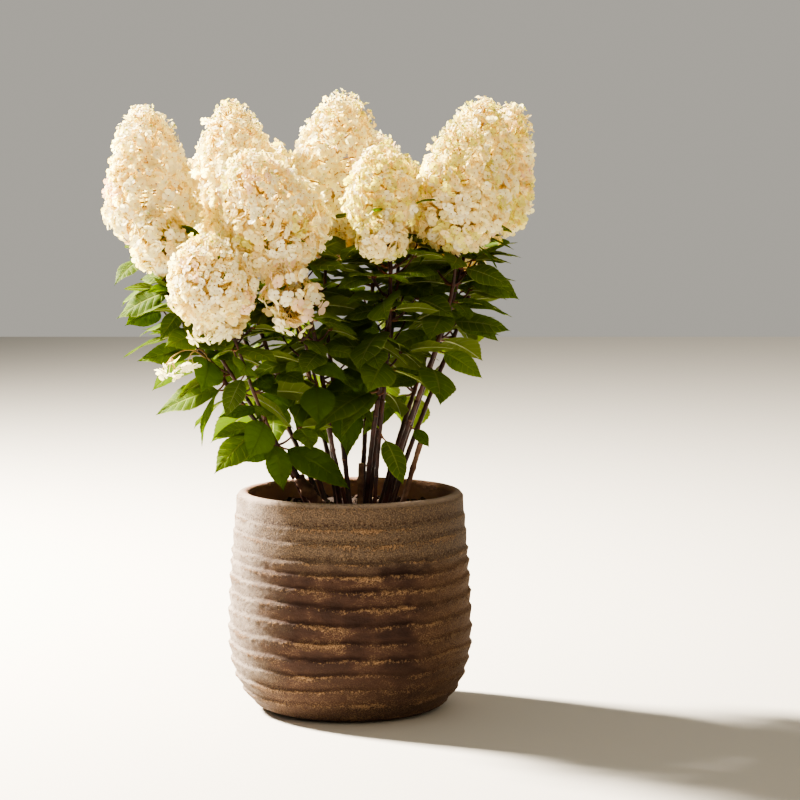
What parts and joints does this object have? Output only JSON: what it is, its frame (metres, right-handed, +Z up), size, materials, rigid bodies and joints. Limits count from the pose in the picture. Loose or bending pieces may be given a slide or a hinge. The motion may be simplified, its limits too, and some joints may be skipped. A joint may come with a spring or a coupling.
{
  "type": "potted panicle hydrangea shrub",
  "caption": "Panicle hydrangea shrub in full bloom with cone-shaped cream flower heads, growing in a round ribbed terracotta planter filled with potting soil.",
  "frame": {"origin": "centre of the planter's flat underside, on the surface that it stands on", "axes": "+Z up through the plant, -Y towards the side seen in the picture, +X to the right in that view"},
  "size_m": [0.5205, 0.4091, 0.755],
  "materials": {
    "terracotta": "weathered unglazed clay with hand-formed bands",
    "potting_soil": "moist crumbly potting mix",
    "bark": "smooth dark red-brown cane bark",
    "leaves": "satin leaf with sunk veins",
    "petals": "thin matte petals"
  },
  "bodies": {
    "root": {"planter": "terracotta", "potting_soil": "potting_soil", "cane_left_tall": "bark", "foliage_left_tall": "leaves", "bloom_left_tall": "petals", "cane_left_low": "bark", "foliage_left_low": "leaves", "bloom_left_low": "petals", "cane_back_left": "bark", "foliage_back_left": "leaves", "bloom_back_left": "petals", "cane_back_middle": "bark", "foliage_back_middle": "leaves", "bloom_back_middle": "petals", "cane_front_middle": "bark", "foliage_front_middle": "leaves", "bloom_front_middle": "petals", "cane_front_left": "bark", "foliage_front_left": "leaves", "bloom_front_left": "petals", "cane_front_low": "bark", "foliage_front_low": "leaves", "bloom_front_low": "petals", "cane_middle_lime": "bark", "foliage_middle_lime": "leaves", "bloom_middle_lime": "petals", "cane_middle_low": "bark", "foliage_middle_low": "leaves", "bloom_middle_low": "petals", "cane_right_front": "bark", "foliage_right_front": "leaves", "bloom_right_front": "petals", "cane_centre_right": "bark", "foliage_centre_right": "leaves", "bloom_centre_right": "petals", "cane_right_middle": "bark", "foliage_right_middle": "leaves", "bloom_right_middle": "petals", "cane_right_back": "bark", "foliage_right_back": "leaves", "bloom_right_back": "petals", "cane_rear_left": "bark", "foliage_rear_left": "leaves", "bloom_rear_left": "petals", "cane_rear_inner": "bark", "foliage_rear_inner": "leaves", "bloom_rear_inner": "petals", "cane_rear_middle": "bark", "foliage_rear_middle": "leaves", "bloom_rear_middle": "petals", "cane_rear_right": "bark", "foliage_rear_right": "leaves", "bloom_rear_right": "petals", "old_wood_left": "bark", "cut_cane_middle": "bark", "cut_cane_right": "bark"}
  },
  "joints": []
}
